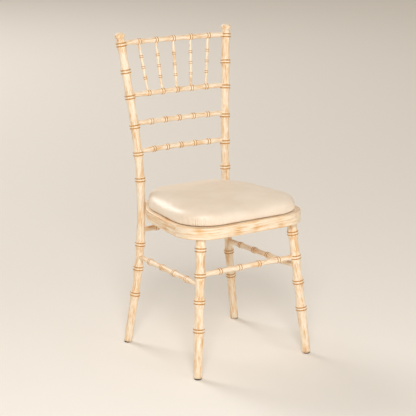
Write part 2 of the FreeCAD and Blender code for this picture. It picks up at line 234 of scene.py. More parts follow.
def limewashed_beech():
    """Honey-brown wood under rubbed lime paste, laid out along the blank of each piece."""
    material, tree, shader = new_material("limewashed_beech")
    blank = add_node(tree, "ShaderNodeAttribute", {"attribute_name": "blank"}).outputs["Vector"]
    wear = add_node(tree, "ShaderNodeAttribute", {"attribute_name": "wear"}).outputs["Fac"]

    def grain(width, length, detail):
        """Noise drawn out along the grain, with features of a real width and length."""
        scaled = add_node(
            tree, "ShaderNodeVectorMath", {"operation": "MULTIPLY"},
            {1: (1 / width, 1 / width, 1 / length)}, {0: blank},
        )
        texture = add_node(
            tree, "ShaderNodeTexNoise", values={"Scale": 1.0, "Detail": detail, "Roughness": 0.55},
            links={"Vector": scaled.outputs[0]},
        )
        return texture.outputs["Fac"]

    def fade(value, low, high, bottom, top):
        """Turns the stretch from low to high into the stretch from bottom to top."""
        node = add_node(
            tree, "ShaderNodeMapRange",
            values={"From Min": low, "From Max": high, "To Min": bottom, "To Max": top},
            links={"Value": value},
        )
        return node.outputs["Result"]

    def total(first, second):
        """The sum of two values."""
        node = add_node(tree, "ShaderNodeMath", {"operation": "ADD"}, links={0: first, 1: second})
        return node.outputs[0]

    def blend(factor, first, second):
        """A mix of two colours: the first at a factor of 0, the second at 1."""
        node = add_node(
            tree, "ShaderNodeMix", {"data_type": "RGBA"}, links={"Factor": factor, 6: first, 7: second},
        )
        return node.outputs[2]

    pores = grain(pore_width, pore_length, 2)
    streaks = grain(streak_width, streak_length, 4)
    patches = grain(patch_width, patch_length, 3)

    wood = ramp(tree, streaks, [(0.34, "#C98B3C"), (0.50, "#E0A857"), (0.66, "#EDC181")])
    paste = ramp(tree, pores, [(0.30, "#E9D3B2"), (0.50, "#F4E4CB"), (0.68, "#FAF2E3")])

    # Paste stays along the pale streaks and in the pores, and is gone from patches and worn ridges.
    paste_left = total(fade(streaks, 0.36, 0.64, -0.34, 0.34), fade(patches, 0.34, 0.66, 0.5, -0.34))
    paste_left = total(paste_left, fade(pores, 0.32, 0.68, -0.14, 0.14))
    paste_left = total(paste_left, fade(wear, -1.0, 1.0, 1.1, 0.1))
    cover = fade(paste_left, 0.15, 0.95, 0.18, 0.97)
    surface = blend(cover, wood, paste)

    # A crest darkens where its wear passes about 1. The streaks break up the edge of that darkening.
    bare_crest = total(wear, fade(streaks, 0.3, 0.7, 0.22, -0.3))
    crest_colour = ramp(tree, pores, [(0.35, "#99631D"), (0.65, "#CB9243")])
    surface = blend(fade(bare_crest, 1.05, 1.5, 0.0, 1.0), surface, crest_colour)
    tree.links.new(surface, shader.inputs["Base Color"])

    # Bare lacquered wood is smoother than wood under paste, and the pores are felt as fine relief.
    tree.links.new(fade(cover, 0.0, 1.0, 0.33, 0.52), shader.inputs["Roughness"])
    relief = add_node(
        tree, "ShaderNodeBump", values={"Strength": 0.3, "Distance": mm(0.3)},
        links={"Height": total(streaks, pores)},
    )
    tree.links.new(relief.outputs["Normal"], shader.inputs["Normal"])
    shader.inputs["Coat Weight"].default_value = lacquer_weight
    shader.inputs["Coat Roughness"].default_value = lacquer_roughness
    return material


beech = limewashed_beech()
print(beech.name, "has", len(beech.node_tree.nodes), "nodes")

# %% [markdown]
# The pad is covered in ivory vinyl: a calendered plastic skin on a knitted back, with a very shallow
# embossed leather grain and a soft pearl sheen. The eye sees broad dull highlights with no sharp
# edge. Real grain cells are about a millimetre wide. They're drawn at 1.8 mm, so that they just
# show. Slow changes of tone, 70 mm long, are painted shade: they stand for the soft swells and
# hollows of the foam underneath. The gloss changes with them.

# %% Ivory vinyl
vinyl_cell = mm(1.8)
foam_shade_and_gloss_size = mm(70)
pearl_weight = 0.45
pearl_roughness = 0.42


def ivory_vinyl():
    """Pale plastic skin with a shallow grain and a soft sheen."""
    material, tree, shader = new_material("ivory_vinyl")
    place = add_node(tree, "ShaderNodeTexCoord").outputs["Object"]
    cells = add_node(
        tree, "ShaderNodeTexVoronoi", {"feature": "SMOOTH_F1"},
        {"Scale": 1 / vinyl_cell}, {"Vector": place},
    )
    foam_shade_and_gloss = add_node(
        tree, "ShaderNodeTexNoise", values={"Scale": 1 / foam_shade_and_gloss_size, "Detail": 2}, links={"Vector": place},
    )
    # Painted shade: these slow tone changes stand for the swells and hollows of the foam under the cover.
    tone = ramp(tree, foam_shade_and_gloss.outputs["Fac"], [(0.3, "#E7D6C1"), (0.7, "#EEE0CE")])
    tree.links.new(tone, shader.inputs["Base Color"])
    gloss = add_node(
        tree, "ShaderNodeMapRange", values={"To Min": 0.40, "To Max": 0.50},
        links={"Value": foam_shade_and_gloss.outputs["Fac"]},
    )
    tree.links.new(gloss.outputs["Result"], shader.inputs["Roughness"])
    relief = add_node(
        tree, "ShaderNodeBump", values={"Strength": 0.10, "Distance": mm(0.15)},
        links={"Height": cells.outputs["Distance"]},
    )
    tree.links.new(relief.outputs["Normal"], shader.inputs["Normal"])
    shader.inputs["Coat Weight"].default_value = pearl_weight
    shader.inputs["Coat Roughness"].default_value = pearl_roughness
    return material


vinyl = ivory_vinyl()
print(vinyl.name, "has grain cells of", round(vinyl_cell * 1000, 1), "mm")

# %% [markdown]
# The glides are injection moulded polyamide, a tough plastic that slides well. It starts a dull dark
# brown, and the floor soon scuffs it paler in small spots, here about 3 mm across.

# %% Glide plastic
scuff_size = mm(3)


def glide_plastic():
    material, tree, shader = new_material("moulded_polyamide")
    place = add_node(tree, "ShaderNodeTexCoord").outputs["Object"]
    scuffs = add_node(
        tree, "ShaderNodeTexNoise", values={"Scale": 1 / scuff_size, "Detail": 5}, links={"Vector": place},
    )
    tone = ramp(tree, scuffs.outputs["Fac"], [(0.4, "#1F1A17"), (0.7, "#3A312B")])
    tree.links.new(tone, shader.inputs["Base Color"])
    shader.inputs["Roughness"].default_value = 0.55
    return material


plastic = glide_plastic()
print("made", plastic.name)

# %% [markdown]
# The two bolts through the rear posts are zinc plated steel. The plating is a pale bluish grey metal
# with a fine uneven gloss, as its crystals are about 1.5 mm across.

# %% Zinc plated steel
crystal_size = mm(1.5)


def zinc_steel():
    material, tree, shader = new_material("zinc_plated_steel")
    place = add_node(tree, "ShaderNodeTexCoord").outputs["Object"]
    spangle = add_node(
        tree, "ShaderNodeTexNoise", values={"Scale": 1 / crystal_size, "Detail": 3}, links={"Vector": place},
    )
    gloss = add_node(
        tree, "ShaderNodeMapRange", values={"To Min": 0.28, "To Max": 0.45},
        links={"Value": spangle.outputs["Fac"]},
    )
    tree.links.new(gloss.outputs["Result"], shader.inputs["Roughness"])
    shader.inputs["Base Color"].default_value = colour("#B9B8B2")
    shader.inputs["Metallic"].default_value = 1.0
    return material


steel = zinc_steel()
print("made", steel.name)

# %% [markdown]
# The seat panel and the board in the pad are birch plywood: rotary cut veneers with a pale, calm
# figure. The figure is long from front to back, as the face veneer's grain runs that way, and
# veneers 1.5 mm thick show as layers at the edges. It is sanded and left without a lacquer.

# %% Birch plywood
figure_size = (mm(5), mm(70), mm(1.5))


def birch_plywood():
    material, tree, shader = new_material("birch_plywood")
    place = add_node(tree, "ShaderNodeTexCoord").outputs["Object"]
    scaled = add_node(
        tree, "ShaderNodeVectorMath", {"operation": "MULTIPLY"},
        {1: [1 / size for size in figure_size]}, {0: place},
    )
    figure = add_node(
        tree, "ShaderNodeTexNoise", values={"Scale": 1.0, "Detail": 4}, links={"Vector": scaled.outputs[0]},
    )
    tone = ramp(tree, figure.outputs["Fac"], [(0.3, "#B98F5E"), (0.55, "#D3B084"), (0.75, "#E0C49C")])
    tree.links.new(tone, shader.inputs["Base Color"])
    shader.inputs["Roughness"].default_value = 0.62
    return material


plywood = birch_plywood()
print("made", plywood.name)

# %% [markdown]
# The pad is held by hook and loop tape, woven nylon whose face is a dense nap of hooks or loops. It
# has no shine at all. The tufts are drawn about 1.2 mm apart.

# %% Hook and loop tape
tuft_spacing = mm(1.2)


def nylon_tape():
    material, tree, shader = new_material("woven_nylon_tape")
    place = add_node(tree, "ShaderNodeTexCoord").outputs["Object"]
    loops = add_node(
        tree, "ShaderNodeTexVoronoi", values={"Scale": 1 / tuft_spacing}, links={"Vector": place},
    )
    tone = ramp(tree, loops.outputs["Distance"], [(0.1, "#E7E2D6"), (0.8, "#B7B1A3")])
    tree.links.new(tone, shader.inputs["Base Color"])
    relief = add_node(
        tree, "ShaderNodeBump", values={"Strength": 0.6, "Distance": mm(0.5)},
        links={"Height": loops.outputs["Distance"]},
    )
    tree.links.new(relief.outputs["Normal"], shader.inputs["Normal"])
    shader.inputs["Roughness"].default_value = 0.85
    return material


tape = nylon_tape()
print("made", tape.name)

# %% [markdown]
# The centre lines. A front leg is a straight stick. A rear post is steamed and bent: a straight run
# up from the foot, a long gentle arc, and a straight run up the back. A back rail is a shallow arc.
# Each line is a function that gives the centre and the direction at a place along the stick, so
# that anything turned can be laid along it. The facts are those of the joinery drawing.

# %% Centre lines
seat_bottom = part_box("seat_front_bow")[0].z
seat_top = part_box("seat_front_bow")[1].z
top_rail_height = seat_top + mm(461.5)
post_knee = Vector((mm(133.9), mm(138.7), seat_top - mm(9.6)))
post_foot = post_knee + Vector((mm(59.4), mm(27), -post_knee.z))
back_run = Vector((0.1003, 0.1305, 1)).normalized()
post_bend_reach = mm(269)
leg_top = Vector((mm(155.4), mm(-170.1), seat_bottom))
leg_foot = leg_top + Vector((mm(34), mm(-35.9), -leg_top.z))
rail_bow = mm(10)


def on_arc(start, direction, side, radius, angle):
    """Centre and direction at an angle round an arc that bends towards one side."""
    centre = start + direction * (radius * math.sin(angle)) + side * (radius * (1 - math.cos(angle)))
    return centre, direction * math.cos(angle) + side * math.sin(angle)


def post_axis(height):
    """Centre and direction of the right rear post at a height."""
    foot_run = (post_knee - post_foot).normalized()
    bend_start = post_knee - foot_run * post_bend_reach
    bend_end = post_knee + back_run * post_bend_reach
    if height < bend_start.z:
        return bend_start + foot_run * ((height - bend_start.z) / foot_run.z), foot_run
    if height > bend_end.z:
        return bend_end + back_run * ((height - bend_end.z) / back_run.z), back_run
    side = (back_run - foot_run * foot_run.dot(back_run)).normalized()
    radius = post_bend_reach / math.tan(foot_run.angle(back_run) / 2)
    rise = (height - bend_start.z) / radius - side.z
    angle = math.asin(rise / math.hypot(foot_run.z, side.z)) + math.atan2(side.z, foot_run.z)
    return on_arc(bend_start, foot_run, side, radius, angle)


def leg_axis(height):
    """Centre and direction of the right front leg at a height."""
    run = leg_top - leg_foot
    return leg_foot + run * (height / leg_top.z), run.normalized()


def rail_axis(height):
    """The centre line of the back rail at a height, by the distance to the right of the middle."""
    end = post_axis(height)[0]
    radius = (end.x**2 + rail_bow**2) / (2 * rail_bow)
    middle = Vector((0, end.y + rail_bow, height))

    def axis(x):
        return on_arc(middle, Vector((1, 0, 0)), -BACKWARD, radius, math.asin(x / radius))

    return axis


def line_axis(start, end):
    """A straight centre line, by the distance from its start."""
    direction = (end - start).normalized()

    def axis(place):
        return start + direction * place, direction

    return axis


def mirrored(axis):
    """The same line on the left of the chair."""
    def left(place):
        centre, direction = axis(place)
        return Vector((-centre.x, centre.y, centre.z)), Vector((-direction.x, direction.y, direction.z))

    return left


bend = math.degrees(post_axis(0)[1].angle(post_axis(top_rail_height)[1]))
print("the rear posts are bent by", round(bend, 1), "degrees")

# %% [markdown]
# Turned work is a profile spun round a line. The profile here is a function: the body waists a
# little between two ring pairs and swells towards them, like bamboo. Each ring pair is two rounded
# ridges with a hollow between. The mesh is sampled finely over the ridges and coarsely over the
# plain runs, which keeps the ridges crisp and the file light.

# %% Turned profile
plain_step = mm(7)
ridge_step = mm(0.6)
closest_rows = mm(0.25)
ridge_margin = mm(1)
groove_share = 0.35
swell_reach = mm(7)
groove_wear = -0.9


class RingPair:
    """Two ridges turned side by side: their sizes, and the wear of the plain wood beside them."""

    def __init__(self, gap, ridge_width, ridge_height, plain_wear):
        self.gap = gap
        self.half_width = ridge_width / 2
        self.height = ridge_height
        self.plain_wear = plain_wear

    def rise_and_wear(self, distance):
        """Height over the body and wear, at a distance from the middle of the pair."""
        share = abs(abs(distance) - self.gap / 2) / self.half_width
        beyond = max(abs(distance) - self.gap / 2 - self.half_width, 0)
        swell = groove_share * self.height * math.exp(-((beyond / swell_reach) ** 2))
        if share < 1:
            # The wear runs from -1 in the hollow at the ridge's foot to 2 on its crest.
            ridge = (1 - share**2) ** 1.5
            return swell + (1 - groove_share) * self.height * ridge, 3 * ridge - 1
        return swell, self.plain_wear if beyond else groove_wear


thick_pair = RingPair(mm(8.2), mm(6.4), mm(2.8), -0.2)
thin_pair = RingPair(mm(7.6), mm(5.4), mm(1.9), -0.25)
fine_pair = RingPair(mm(5.2), mm(3.6), mm(1.2), -0.5)


def turned_profile(start, end, middles, pair, body, waist):
    """Rows of place, radius and wear along a stick, with a ring pair at each of the middles."""
    reach = pair.gap / 2 + pair.half_width + ridge_margin
    places = {start, end}
    stops = [start] + sorted(middles) + [end]
    for low, high in zip(stops, stops[1:]):
        count = max(int((high - low) / plain_step), 1)
        places.update(low + (high - low) * index / count for index in range(count + 1))
    for middle in middles:
        count = int(2 * reach / ridge_step)
        places.update(middle - reach + 2 * reach * index / count for index in range(count + 1))
    rows = []
    for place in sorted(p for p in places if start <= p <= end):
        if rows and place - rows[-1][0] < closest_rows:
            continue
        low = max([stop for stop in stops if stop <= place])
        high = min([stop for stop in stops if stop > place], default=end)
        share = (place - low) / (high - low) if high > low else 0
        thinning = waist * math.sin(math.pi * share) if start < low and high < end else 0
        middle = min(middles, key=lambda m: abs(m - place))
        rise, wear = pair.rise_and_wear(place - middle)
        rows.append((place, body(place) - thinning + rise, wear))
    return rows


for name, pair in {"thick": thick_pair, "thin": thin_pair, "fine": fine_pair}.items():
    print(name, "ring pair is", round(1000 * (pair.gap + 2 * pair.half_width), 1), "mm wide")

# %% [markdown]
# The mesh builder lays one loop of points round the line for each row of the profile, closes both
# ends with a disc, and stores the two wood attributes. The blank place of each piece is shifted by
# its own seed, so that no two sticks show the same figure.

# %% Turned mesh
def grained_object(name, points, faces, blank, wear, material):
    """A mesh object whose points carry their place in the blank and their wear."""
    mesh = bpy.data.meshes.new(name)
    mesh.from_pydata([tuple(point) for point in points], [], faces)
    mesh.attributes.new("blank", "FLOAT_VECTOR", "POINT").data.foreach_set(
        "vector", [value for place in blank for value in place]
    )
    mesh.attributes.new("wear", "FLOAT", "POINT").data.foreach_set("value", wear)
    mesh.materials.append(material)
    mesh.shade_smooth()
    item = bpy.data.objects.new(name, mesh)
    bpy.context.collection.objects.link(item)
    return item


def make_normals_outward(item):
    data = bmesh.new()
    data.from_mesh(item.data)
    bmesh.ops.recalc_face_normals(data, faces=data.faces)
    data.to_mesh(item.data)
    data.free()


seed_count = 0


def next_seed():
    """A far-off corner of the wood pattern, a new one for each piece."""
    global seed_count
    seed_count += 1
    return Vector((0.37 * seed_count, 0.61 * seed_count, 0.23 * seed_count))


def turned_object(name, axis, rows, reference, sides, material=beech):
    """A stick with its profile's rows laid as loops of points along a centre line."""
    points, blank, wear, faces = [], [], [], []
    seed = next_seed()
    for place, radius, worn in rows:
        centre, direction = axis(place)
        across = direction.cross(reference).normalized()
        beside = direction.cross(across)
        for index in range(sides):
            angle = 2 * math.pi * index / sides
            x, y = radius * math.cos(angle), radius * math.sin(angle)
            points.append(centre + across * x + beside * y)
            blank.append(seed + Vector((x, y, place)))
            wear.append(worn)
    for row in range(len(rows) - 1):
        for index in range(sides):
            after = (index + 1) % sides
            low, high = row * sides, (row + 1) * sides
            faces.append((low + index, low + after, high + after, high + index))
    last = (len(rows) - 1) * sides
    faces.append(tuple(range(sides - 1, -1, -1)))
    faces.append(tuple(range(last, last + sides)))
    item = grained_object(name, points, faces, blank, wear, material)
    make_normals_outward(item)
    return item


def dress(item, node, body=FRAME_BODY):
    """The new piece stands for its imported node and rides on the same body."""
    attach(item, body)
    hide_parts(node)
    print(item.name, "has", len(item.data.polygons), "faces")


# %% [markdown]
# The rear posts are the showpiece: nine ring pairs, a gentle bend, and a flattened ball finial on a
# narrow neck. The ball is part of the same stick, so it is simply the top of the profile. Its rows
# follow an oval, with a row every six degrees, and its widest part is rubbed a little barer.

# %% Rear posts
glide_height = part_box("rear_glide_right")[1].z
post_radius = mm(12.8)
post_foot_radius = mm(11.8)
post_waist = mm(0.9)
post_rings = [seat_bottom - mm(drop) for drop in (242, 164, 91)]
post_rings += [top_rail_height - mm(drop) for drop in (393.5, 317.5, 238.5, 153.5, 80, 3.5)]
finial_radius = mm(15.4)
finial_middle = top_rail_height + mm(20.5)
finial_half_height = mm(10.3)
ball_start = -48
ball_step = 6
ball_wear = 0.35
ball_wear_spread = 22
collar_rise = mm(6.2)
post_sides = 40

# Rise above the top rail and radius, both in millimetres, and wear.
finial_neck = [
    (7.4, 11.9, -0.8), (8.6, 12.7, -0.2), (9.8, 12.6, 0.2), (11.0, 11.4, 0.0), (12.0, 10.3, -0.6),
]


def post_body(height):
    """Radius of the plain post, which tapers below its lowest ring."""
    share = min(height / post_rings[0], 1)
    return post_foot_radius + (post_radius - post_foot_radius) * share**2


def finial_rows():
    """The cup, the neck and the flattened ball, as more rows of the post's profile."""
    rows = [(top_rail_height + mm(rise), mm(radius), wear) for rise, radius, wear in finial_neck]
    for degrees in range(ball_start, 90, ball_step):
        angle = math.radians(degrees)
        rise = finial_half_height * math.sin(angle)
        wear = ball_wear * math.exp(-((degrees / ball_wear_spread) ** 2)) - 0.1
        rows.append((finial_middle + rise, finial_radius * math.cos(angle), wear))
    return rows


def rear_post(name, axis, reference):
    collar = top_rail_height + collar_rise
    rows = turned_profile(glide_height, collar, post_rings, thick_pair, post_body, post_waist)
    return turned_object(name, axis, rows + finial_rows(), reference, post_sides)


bend_normal = post_axis(0)[1].cross(post_axis(top_rail_height)[1])
left_bend_normal = Vector((-bend_normal.x, bend_normal.y, bend_normal.z))
dress(rear_post("limed_rear_post_right", post_axis, bend_normal), "rear_post_right")
dress(rear_post("limed_rear_post_left", mirrored(post_axis), left_bend_normal), "rear_post_left")
print("rear posts have", len(post_rings), "ring pairs each")

# %% [markdown]
# The front legs are straight and a little thicker than the posts, with four ring pairs. Below the
# lowest pair the leg tapers plainly to the glide. Above the highest it narrows to a neck, which is
# what lets such a leg look light where it meets the heavier seat frame.

# %% Front legs
leg_radius = mm(13.9)
leg_foot_radius = mm(12.2)
leg_neck_radius = mm(13.0)
leg_waist = mm(1)
leg_rings = [seat_bottom - mm(drop) for drop in (255, 175.5, 102, 31)]


def leg_body(height):
    """Tapers below the lowest ring, and narrows to a neck above the highest."""
    share = min(height / leg_rings[0], 1)
    neck = max((height - leg_rings[-1]) / (seat_bottom - leg_rings[-1]), 0)
    radius = leg_foot_radius + (leg_radius - leg_foot_radius) * share**2
    return radius + (leg_neck_radius - leg_radius) * neck


def front_leg(name, axis):
    rows = turned_profile(glide_height, seat_bottom, leg_rings, thick_pair, leg_body, leg_waist)
    return turned_object(name, axis, rows, BACKWARD, post_sides)


dress(front_leg("limed_front_leg_right", leg_axis), "front_leg_right")
dress(front_leg("limed_front_leg_left", mirrored(leg_axis)), "front_leg_left")
print("front legs have", len(leg_rings), "ring pairs each")

# %% [markdown]
# The back rails and stretchers are the same work in a smaller size. Their ring pairs are closer
# together and lower than those on the posts, and their ends slim down where they enter the bores.

# %% Back rails
rail_radius = mm(7.7)
rail_end_radius = mm(6.8)
rail_waist = mm(0.5)
rail_sides = 28
spindle_steps = range(-2, 3)
spindle_rail_height = top_rail_height - mm(148.5)
upper_ladder_height = spindle_rail_height - mm(82)
lower_ladder_height = upper_ladder_height - mm(80.5)
top_rail_spacing = mm(60)
spindle_rail_spacing = mm(50)

# Height of each rail and the spacing of its ring pairs.
back_rails = {
    "top_rail": (top_rail_height, top_rail_spacing),
    "spindle_rail": (spindle_rail_height, spindle_rail_spacing),
    "upper_ladder_rail": (upper_ladder_height, mm(49)),
    "lower_ladder_rail": (lower_ladder_height, mm(48)),
}


def tapered_body(middle_radius, end_radius, first, last, run):
    """A body that slims towards both ends over a run."""
    def body(place):
        share = min(max(min(place - first, last - place) / run, 0), 1)
        return end_radius + (middle_radius - end_radius) * share

    return body


for node, (height, spacing) in back_rails.items():
    half = post_axis(height)[0].x
    middles = [step * spacing for step in spindle_steps]
    body = tapered_body(rail_radius, rail_end_radius, -half, half, half - 2 * spacing)
    rows = turned_profile(-half, half, middles, thin_pair, body, rail_waist)
    dress(turned_object("limed_" + node, rail_axis(height), rows, UP, rail_sides), node)

# %% [markdown]
# The stretchers are straight. The front and rear ones run level from side to side, and the side
# ones run a little lower from front leg to rear post, so that no two bores meet in one leg.

# %% Stretchers
stretcher_radius = mm(7.9)
stretcher_rings = [mm(x) for x in (-100, -33, 33, 100)]
front_drop = mm(101.5)
side_drop = mm(130)
rear_drop = mm(49)


def leftward(place):
    """The same place on the left of the chair."""
    return Vector((-place.x, place.y, place.z))


front_end = leg_axis(seat_bottom - front_drop)[0]
rear_end = post_axis(seat_bottom - rear_drop)[0]
side_front = leg_axis(seat_bottom - side_drop)[0]
side_rear = post_axis(seat_bottom - side_drop)[0]
stretcher_ends = {
    "front_stretcher": (leftward(front_end), front_end),
    "rear_stretcher": (leftward(rear_end), rear_end),
    "side_stretcher_right": (side_front, side_rear),
    "side_stretcher_left": (leftward(side_front), leftward(side_rear)),
}
for node, (start, end) in stretcher_ends.items():
    length = (end - start).length
    middles = [length / 2 + offset for offset in stretcher_rings]
    body = tapered_body(stretcher_radius, rail_end_radius, 0, length, length / 2 + stretcher_rings[0])
    rows = turned_profile(0, length, middles, thin_pair, body, rail_waist)
    dress(turned_object("limed_" + node, line_axis(start, end), rows, UP, rail_sides), node)
    print(node, round(length, 3), "m long")

# %% [markdown]
# Five spindles fan out between the two upper rails, because their holes are spaced wider in the top
# rail than in the rail below. Each is thin, slims towards its ends and carries three fine ring pairs.

# %% Back spindles
spindle_radius = mm(4.5)
spindle_end_radius = mm(3.2)
spindle_ring_shares = (0.29, 0.5, 0.71)
spindle_waist = mm(0.25)
spindle_sides = 20

for step in spindle_steps:
    lower = rail_axis(spindle_rail_height)(step * spindle_rail_spacing)[0]
    upper = rail_axis(top_rail_height)(step * top_rail_spacing)[0]
    length = (upper - lower).length
    middles = [length * share for share in spindle_ring_shares]
    body = tapered_body(spindle_radius, spindle_end_radius, 0, length, middles[0])
    rows = turned_profile(0, length, middles, fine_pair, body, spindle_waist)
    node = "back_spindle_" + str(step + 3)
    dress(turned_object("limed_" + node, line_axis(lower, upper), rows, BACKWARD, spindle_sides), node)

# %% [markdown]
# The seat frame is a ring with rounded corners, made of four pieces. Its plan is a polygon whose
# corners are struck with a compass, so the plan is described by corners and radii, and sampled
# along its length. The pad above has the same plan with rounder corners.

# %% Seat plan
# Place to the right, place to the rear, and radius of each corner on the right side.
seat_corners = [
    (mm(215), mm(-206), mm(88)),
    (mm(185.7), mm(65), mm(150)),
    (mm(121.3), mm(177), mm(60)),
]
plan_step = mm(5)


class Plan:
    """A closed plan of rounded corners, counter-clockwise from the middle of the front."""

    def __init__(self, corners, step):
        corners = corners + [(-x, y, turn) for x, y, turn in reversed(corners)]
        places = [Vector((x, y, 0)) for x, y, turn in corners]
        samples = []
        for index, (x, y, turn) in enumerate(corners):
            before = (places[index] - places[index - 1]).normalized()
            after = (places[(index + 1) % len(places)] - places[index]).normalized()
            sweep = before.angle(after)
            start = places[index] - before * (turn * math.tan(sweep / 2))
            count = math.ceil(turn * sweep / step)
            for number in range(count + 1):
                place, direction = on_arc(start, before, UP.cross(before), turn, sweep * number / count)
                samples.append((place, UP.cross(direction)))
        self.samples = [(Vector((0, corners[0][1], 0)), BACKWARD.copy())] + samples
        self.lengths = [0.0]
        following = self.samples[1:] + self.samples[:1]
        for (here, _), (there, _) in zip(self.samples, following):
            self.lengths.append(self.lengths[-1] + (there - here).length)

    def at(self, length):
        """Place and inward direction at a length round the edge."""
        length %= self.lengths[-1]
        index = bisect_right(self.lengths, length) - 1
        share = (length - self.lengths[index]) / (self.lengths[index + 1] - self.lengths[index])
        here, there = self.samples[index], self.samples[(index + 1) % len(self.samples)]
        return here[0].lerp(there[0], share), here[1].lerp(there[1], share).normalized()

    def length_at_depth(self, depth):
        """Length from the middle of the front to where the right side reaches a depth."""
        for index, length in enumerate(self.lengths[:-2]):
            here, there = self.samples[index][0], self.samples[index + 1][0]
            if here.y <= depth < there.y:
                return length + (there - here).length * (depth - here.y) / (there.y - here.y)


frame_plan = Plan(seat_corners, plan_step)
round_the_edge = frame_plan.lengths[-1]
print("seat frame runs", round(round_the_edge, 3), "m round its edge")

# %% [markdown]
# Each piece of the frame is a section carried along the plan. The outer edges are eased to three
# millimetres, and a ledge inside holds the plywood panel. Hands, trouser legs and the wiping cloth
# rub the paste off the eased edges and off a few spots on the front, so the wear is higher there.
# The ends are drawn in a little, as a glued joint shows as a fine line. The figure of these wider
# pieces is drawn finer across the grain and longer along it than that of the turned sticks.

# %% Seat frame pieces
frame_width = mm(45)
ledge_inset = mm(33)
ledge_depth = mm(9)
eased_edge = mm(3)
edge_step = 18
joint_ease = mm(0.5)
side_shares = (0.14, 0.28, 0.42, 0.56, 0.7, 0.84)
front_joint_depth = mm(-118)
rear_joint_depth = mm(95)
# Painted light and shade: the bows keep more paste and look whiter than the side rails. That is partly the
# pieces' own wood, partly the lit front and the shaded sides of the seat.
bow_wear_and_painted_light = -0.3
edge_wear = 0.3
rub_wear = 1.1
figure_across = 1.7
figure_along = 0.55
sharp_angle = math.radians(50)

# Middle and size of each spot that is rubbed barer.
rubbed_spots = [
    (Vector((mm(-53), mm(-206), mm(403))), mm(13)),
    (Vector((mm(7), mm(-206), mm(404))), mm(10)),
    (Vector((mm(91), mm(-206), mm(400))), mm(13)),
    (Vector((mm(-172), mm(-187), mm(421))), mm(11)),
    (Vector((mm(150), mm(-199), mm(418))), mm(9)),
    (Vector((mm(-197), mm(-60), mm(411))), mm(16)),
    (Vector((mm(199), mm(-80), mm(404))), mm(14)),
    (Vector((mm(-30), mm(177), mm(409))), mm(14)),
]


def frame_section():
    """Corners of the section as (inset, height, wear), from the inner foot round the outside."""
    section = [(frame_width, seat_bottom, 0.0), (frame_width / 2, seat_bottom, 0.0)]
    for degrees in range(-90, 1, edge_step):
        angle = math.radians(degrees)
        inset = eased_edge * (1 - math.cos(angle))
        section.append((inset, seat_bottom + eased_edge * (1 + math.sin(angle)), edge_wear))
    for share in side_shares:
        section.append((0.0, seat_bottom + (seat_top - seat_bottom) * share, 0.0))
    for degrees in range(0, 91, edge_step):
        angle = math.radians(degrees)
        inset = eased_edge * (1 - math.cos(angle))
        section.append((inset, seat_top - eased_edge * (1 - math.sin(angle)), edge_wear))
    section += [(ledge_inset / 2, seat_top, 0.0), (ledge_inset, seat_top, 0.0)]
    section += [(ledge_inset, seat_top - ledge_depth, 0.0), (frame_width, seat_top - ledge_depth, 0.0)]
    return section


def frame_piece(node, start, end, piece_wear_and_painted_shade):
    """The frame from one length round the edge to another, closed at both ends."""
    section = frame_section()
    middle_height = (seat_bottom + seat_top) / 2
    count = math.ceil((end - start) / plan_step)
    lengths = [start + (end - start) * number / count for number in range(count + 1)]
    lengths = [start, start + joint_ease] + lengths[1:-1] + [end - joint_ease, end]
    points, blank, wear, faces = [], [], [], []
    seed = next_seed()
    for length in lengths:
        place, inward = frame_plan.at(length)
        drawn_in = joint_ease if length in (start, end) else 0
        for inset, height, edge in section:
            height += drawn_in * (1 if height < middle_height else -1)
            point = place + inward * max(inset, drawn_in) + UP * height
            spot = sum(math.exp(-(((point - centre).length / size) ** 2)) for centre, size in rubbed_spots)
            points.append(point)
            figure = Vector((figure_across * inset, figure_across * height, figure_along * length))
            blank.append(seed + figure)
            wear.append(piece_wear_and_painted_shade + edge + rub_wear * spot)
    size = len(section)
    for row in range(len(lengths) - 1):
        for index in range(size):
            after = (index + 1) % size
            low, high = row * size, (row + 1) * size
            faces.append((low + index, low + after, high + after, high + index))
    faces.append(tuple(range(size)))
    faces.append(tuple(range(len(points) - 1, len(points) - 1 - size, -1)))
    item = grained_object("limed_" + node, points, faces, blank, wear, beech)
    make_normals_outward(item)
    item.data.set_sharp_from_angle(angle=sharp_angle)
    dress(item, node)


front_joint = frame_plan.length_at_depth(front_joint_depth)
rear_joint = frame_plan.length_at_depth(rear_joint_depth)
# The side rails get no offset, so they show more orange wood than the bows: partly their own wood, partly
# painted shade on the seat's sides.
frame_piece("seat_front_bow", -front_joint, front_joint, bow_wear_and_painted_light)
frame_piece("seat_side_rail_right", front_joint, rear_joint, 0.0)
frame_piece("seat_rear_bow", rear_joint, round_the_edge - rear_joint, bow_wear_and_painted_light)
frame_piece("seat_side_rail_left", round_the_edge - rear_joint, round_the_edge - front_joint, 0.0)

# %% [markdown]
# The pad is a plywood board, a slab of foam and a vinyl cover, pulled tight over both and stapled
# below. Its plan is that of the seat frame with rounder corners. Seen from the side it bulges low
# and leans in towards the crown. The form below is a pile of such outlines, each drawn in by its
# own amount, and it starts a little too small, so that there is something left to blow up.

# %% Form of the pad
pad_rounding = (mm(16), 0, mm(32))
pad_inset = mm(6)
pad_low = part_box("pad_cover")[0].z
pad_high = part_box("pad_cover")[1].z
pad_step = mm(4)
pad_columns = 260
held_share = 0.2

